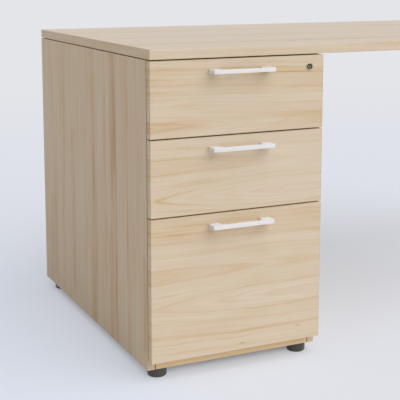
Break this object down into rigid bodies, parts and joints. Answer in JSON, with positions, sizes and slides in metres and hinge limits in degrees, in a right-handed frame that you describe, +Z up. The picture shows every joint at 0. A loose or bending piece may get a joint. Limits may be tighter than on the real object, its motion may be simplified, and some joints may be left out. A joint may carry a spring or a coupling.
{
  "type": "pedestal desk",
  "caption": "Rectangular desk carried by a drawer pedestal at one end and a steel loop leg at the other; drawers run on full-extension slides behind a central lock.",
  "frame": {"origin": "on the floor, under the middle of the outline, handles included", "axes": "+X along the desk from the pedestal to the leg frame, +Y from the user's side to the back, +Z up"},
  "size_m": [1.6, 0.828, 0.74],
  "materials": {
    "beech_board": "laminated board, pale beech grain",
    "desktop_edging": "edge strip, pale beech grain",
    "box_board": "drawer box board, pale grey",
    "dowel_wood": "fluted beech dowel",
    "zinc_fittings": "die-cast zinc",
    "bright_steel": "bright zinc plate",
    "slide_steel": "zinc-plated sheet",
    "white_steel": "white powder coat",
    "white_handle": "white satin lacquer",
    "white_plastic": "moulded, white",
    "grey_plastic": "moulded, grey",
    "buffer_rubber": "soft, translucent grey",
    "foot_plastic": "moulded, charcoal",
    "lock_chrome": "polished",
    "lock_dark": "dark oxide"
  },
  "bodies": {
    "root": {"desktop_board": "beech_board", "desktop_edging": "desktop_edging", "side_panel_left": "beech_board", "side_panel_right": "beech_board", "pedestal_top": "beech_board", "pedestal_bottom": "beech_board", "pedestal_back": "beech_board", "pedestal_edging": "desktop_edging", "dowels": "dowel_wood", "cam_fittings": "zinc_fittings", "foot_sockets": "bright_steel", "leg_post_front": "white_steel", "leg_post_rear": "white_steel", "leg_top_rail": "white_steel", "leg_floor_rail": "white_steel", "rail_end_caps": "white_plastic", "beams": "white_steel", "beam_plates": "white_steel", "frame_screws": "bright_steel", "bar_guides": "grey_plastic", "front_buffers": "buffer_rubber", "drawer_1_slides_fixed": "slide_steel", "drawer_2_slides_fixed": "slide_steel", "drawer_3_slides_fixed": "slide_steel"},
    "drawer_1": {"drawer_1_front": "beech_board", "drawer_1_handle": "white_handle", "drawer_1_handle_screws": "bright_steel", "drawer_1_box_sides": "box_board", "drawer_1_box_back": "box_board", "drawer_1_box_bottom": "box_board", "drawer_1_slides_moving": "slide_steel", "lock_housing": "lock_chrome"},
    "drawer_1_middle_slides": {"drawer_1_slides_middle": "slide_steel"},
    "drawer_2": {"drawer_2_front": "beech_board", "drawer_2_handle": "white_handle", "drawer_2_handle_screws": "bright_steel", "drawer_2_box_sides": "box_board", "drawer_2_box_back": "box_board", "drawer_2_box_bottom": "box_board", "drawer_2_slides_moving": "slide_steel"},
    "drawer_2_middle_slides": {"drawer_2_slides_middle": "slide_steel"},
    "drawer_3": {"drawer_3_front": "beech_board", "drawer_3_handle": "white_handle", "drawer_3_handle_screws": "bright_steel", "drawer_3_box_sides": "box_board", "drawer_3_box_back": "box_board", "drawer_3_box_bottom": "box_board", "drawer_3_slides_moving": "slide_steel", "drawer_3_file_rails": "slide_steel"},
    "drawer_3_middle_slides": {"drawer_3_slides_middle": "slide_steel"},
    "lock": {"lock_plug": "lock_dark", "lock_cam": "zinc_fittings"},
    "locking_bar": {"locking_bar": "bright_steel"},
    "foot_front_left": {"foot_front_left": "foot_plastic"},
    "foot_front_right": {"foot_front_right": "foot_plastic"},
    "foot_rear_left": {"foot_rear_left": "foot_plastic"},
    "foot_rear_right": {"foot_rear_right": "foot_plastic"},
    "leg_foot_front": {"leg_foot_front": "foot_plastic"},
    "leg_foot_rear": {"leg_foot_rear": "foot_plastic"}
  },
  "joints": [
    {"name": "drawer_1_pull", "type": "slide", "parent": "root", "child": "drawer_1", "axis": [0, -1, 0], "range_m": [0, 0.6]},
    {"name": "drawer_1_middle_travel", "type": "slide", "parent": "root", "child": "drawer_1_middle_slides", "axis": [0, -1, 0], "range_m": [0, 0.3]},
    {"name": "drawer_2_pull", "type": "slide", "parent": "root", "child": "drawer_2", "axis": [0, -1, 0], "range_m": [0, 0.6]},
    {"name": "drawer_2_middle_travel", "type": "slide", "parent": "root", "child": "drawer_2_middle_slides", "axis": [0, -1, 0], "range_m": [0, 0.3]},
    {"name": "drawer_3_pull", "type": "slide", "parent": "root", "child": "drawer_3", "axis": [0, -1, 0], "range_m": [0, 0.6]},
    {"name": "drawer_3_middle_travel", "type": "slide", "parent": "root", "child": "drawer_3_middle_slides", "axis": [0, -1, 0], "range_m": [0, 0.3]},
    {"name": "lock_turn", "type": "hinge", "parent": "drawer_1", "child": "lock", "pos_m": [-0.409, -0.386, 0.689], "axis": [0, -1, 0], "range_deg": [0, 90]},
    {"name": "locking_bar_lift", "type": "slide", "parent": "root", "child": "locking_bar", "axis": [0, 0, 1], "range_m": [0, 0.0093]},
    {"name": "foot_front_left_level", "type": "slide", "parent": "root", "child": "foot_front_left", "axis": [0, 0, -1], "range_m": [0, 0.012]},
    {"name": "foot_front_right_level", "type": "slide", "parent": "root", "child": "foot_front_right", "axis": [0, 0, -1], "range_m": [0, 0.012]},
    {"name": "foot_rear_left_level", "type": "slide", "parent": "root", "child": "foot_rear_left", "axis": [0, 0, -1], "range_m": [0, 0.012]},
    {"name": "foot_rear_right_level", "type": "slide", "parent": "root", "child": "foot_rear_right", "axis": [0, 0, -1], "range_m": [0, 0.012]},
    {"name": "leg_foot_front_level", "type": "slide", "parent": "root", "child": "leg_foot_front", "axis": [0, 0, -1], "range_m": [0, 0.012]},
    {"name": "leg_foot_rear_level", "type": "slide", "parent": "root", "child": "leg_foot_rear", "axis": [0, 0, -1], "range_m": [0, 0.012]}
  ],
  "couplings": [
    {"joint": "drawer_1_middle_travel", "follows": "drawer_1_pull", "ratio": 0.5},
    {"joint": "drawer_2_middle_travel", "follows": "drawer_2_pull", "ratio": 0.5},
    {"joint": "drawer_3_middle_travel", "follows": "drawer_3_pull", "ratio": 0.5},
    {"joint": "locking_bar_lift", "follows": "lock_turn", "m_per_rad": 0.0058521}
  ]
}
